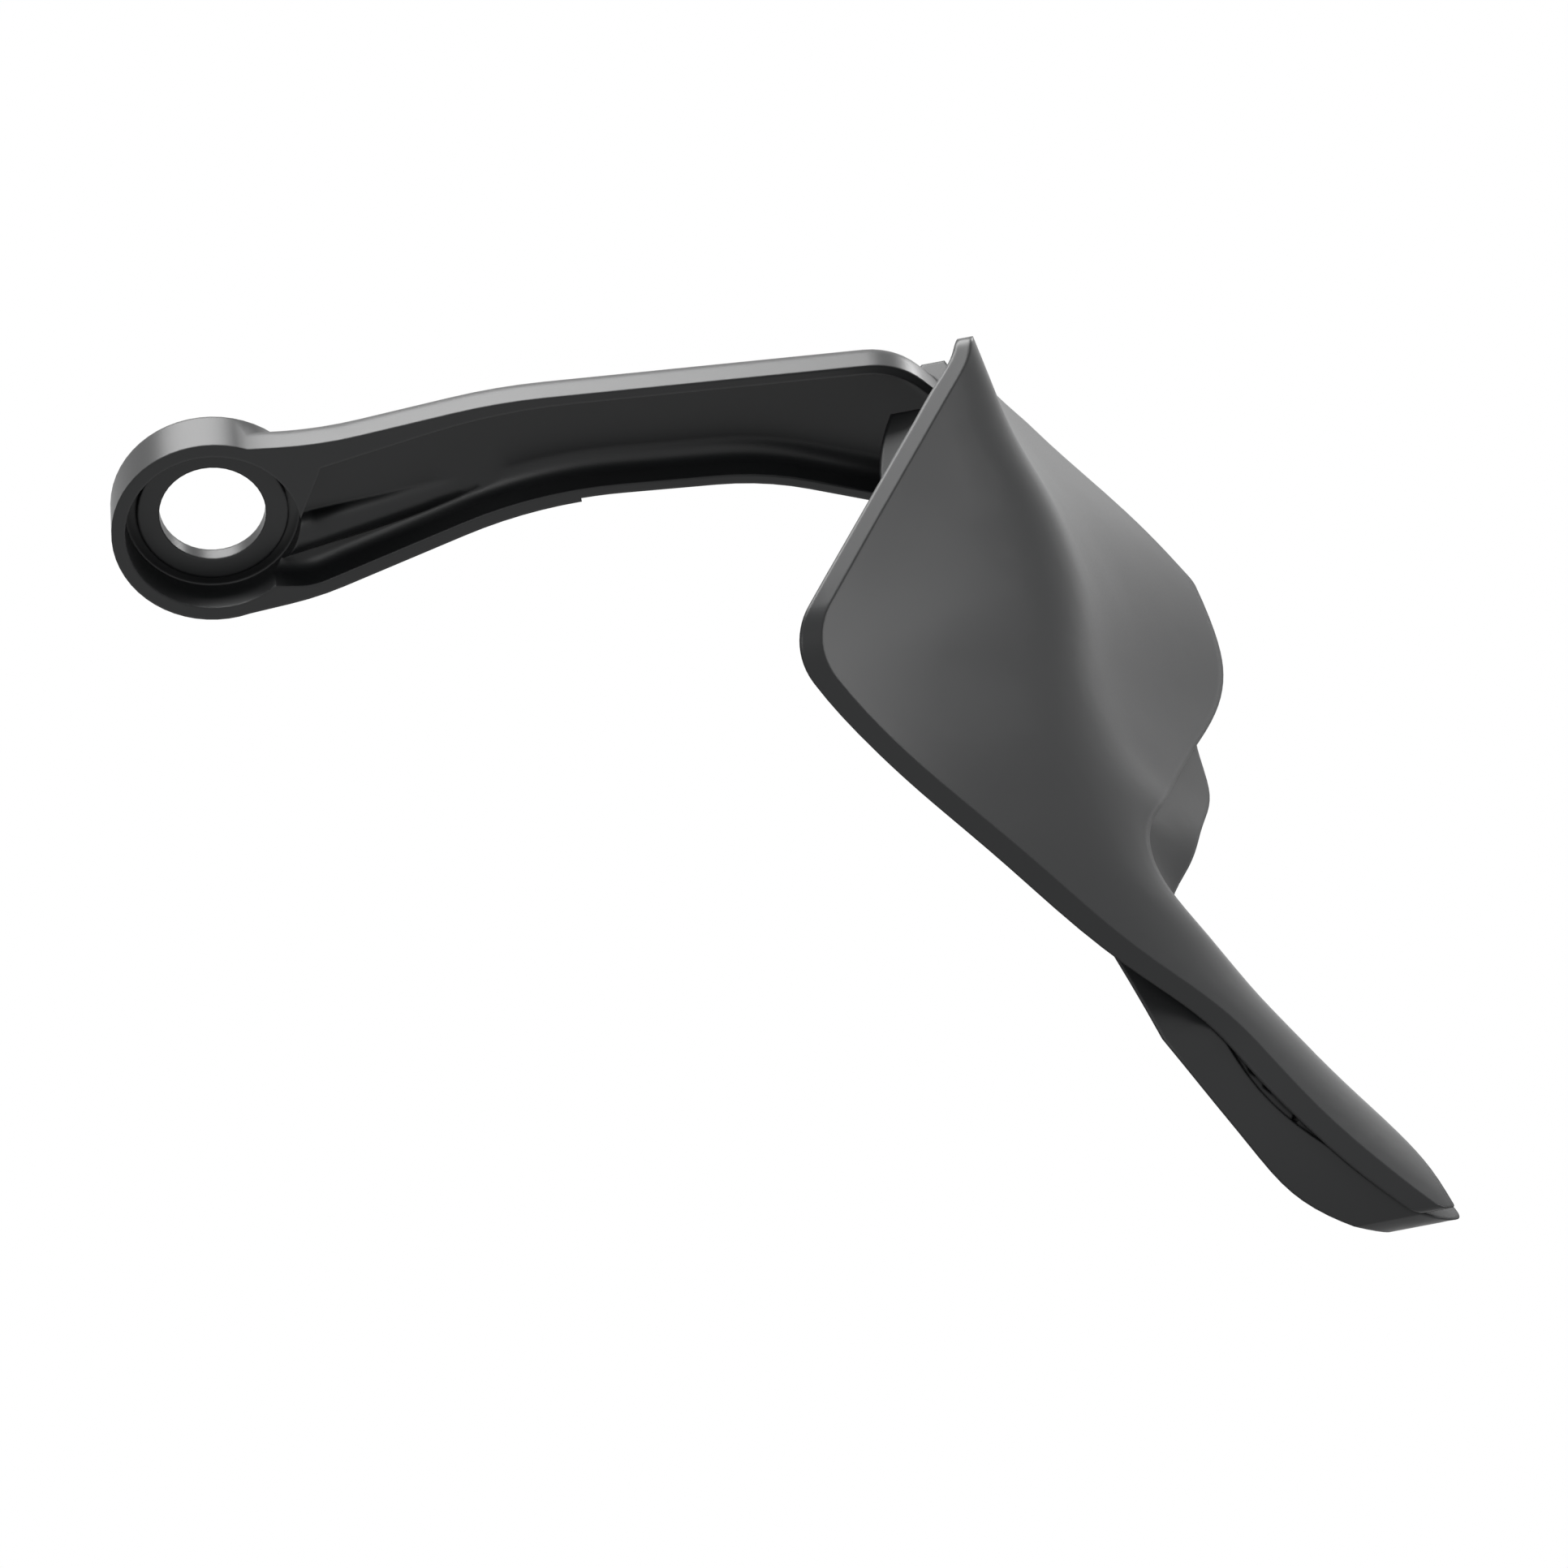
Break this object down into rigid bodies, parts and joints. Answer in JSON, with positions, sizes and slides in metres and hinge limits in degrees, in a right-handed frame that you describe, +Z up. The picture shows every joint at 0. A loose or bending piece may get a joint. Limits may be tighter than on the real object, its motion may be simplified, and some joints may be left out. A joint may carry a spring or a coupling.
{
  "type": "motorcycle hand guard",
  "caption": "Left hand guard for a motorcycle: an open-channel arm with a bar-end eye, a cross leg and a folded wind shield with a tongue",
  "frame": {"origin": "centre of the bar-end hole, on the inboard face of the ring round it", "axes": "+X inboard along the handlebar, +Y forward, +Z up"},
  "size_m": [0.1788, 0.2273, 0.1332],
  "materials": {
    "carrier_plastic": "satin black moulded plastic with a fine grain",
    "shield_plastic": "satin dark grey moulded plastic with a fine grain",
    "screw_steel": "zinc plated steel",
    "insert_brass": "plain turned brass"
  },
  "bodies": {
    "root": {"carrier": "carrier_plastic", "shield": "shield_plastic", "shield_screws": "screw_steel", "tail_insert": "insert_brass"}
  },
  "joints": []
}
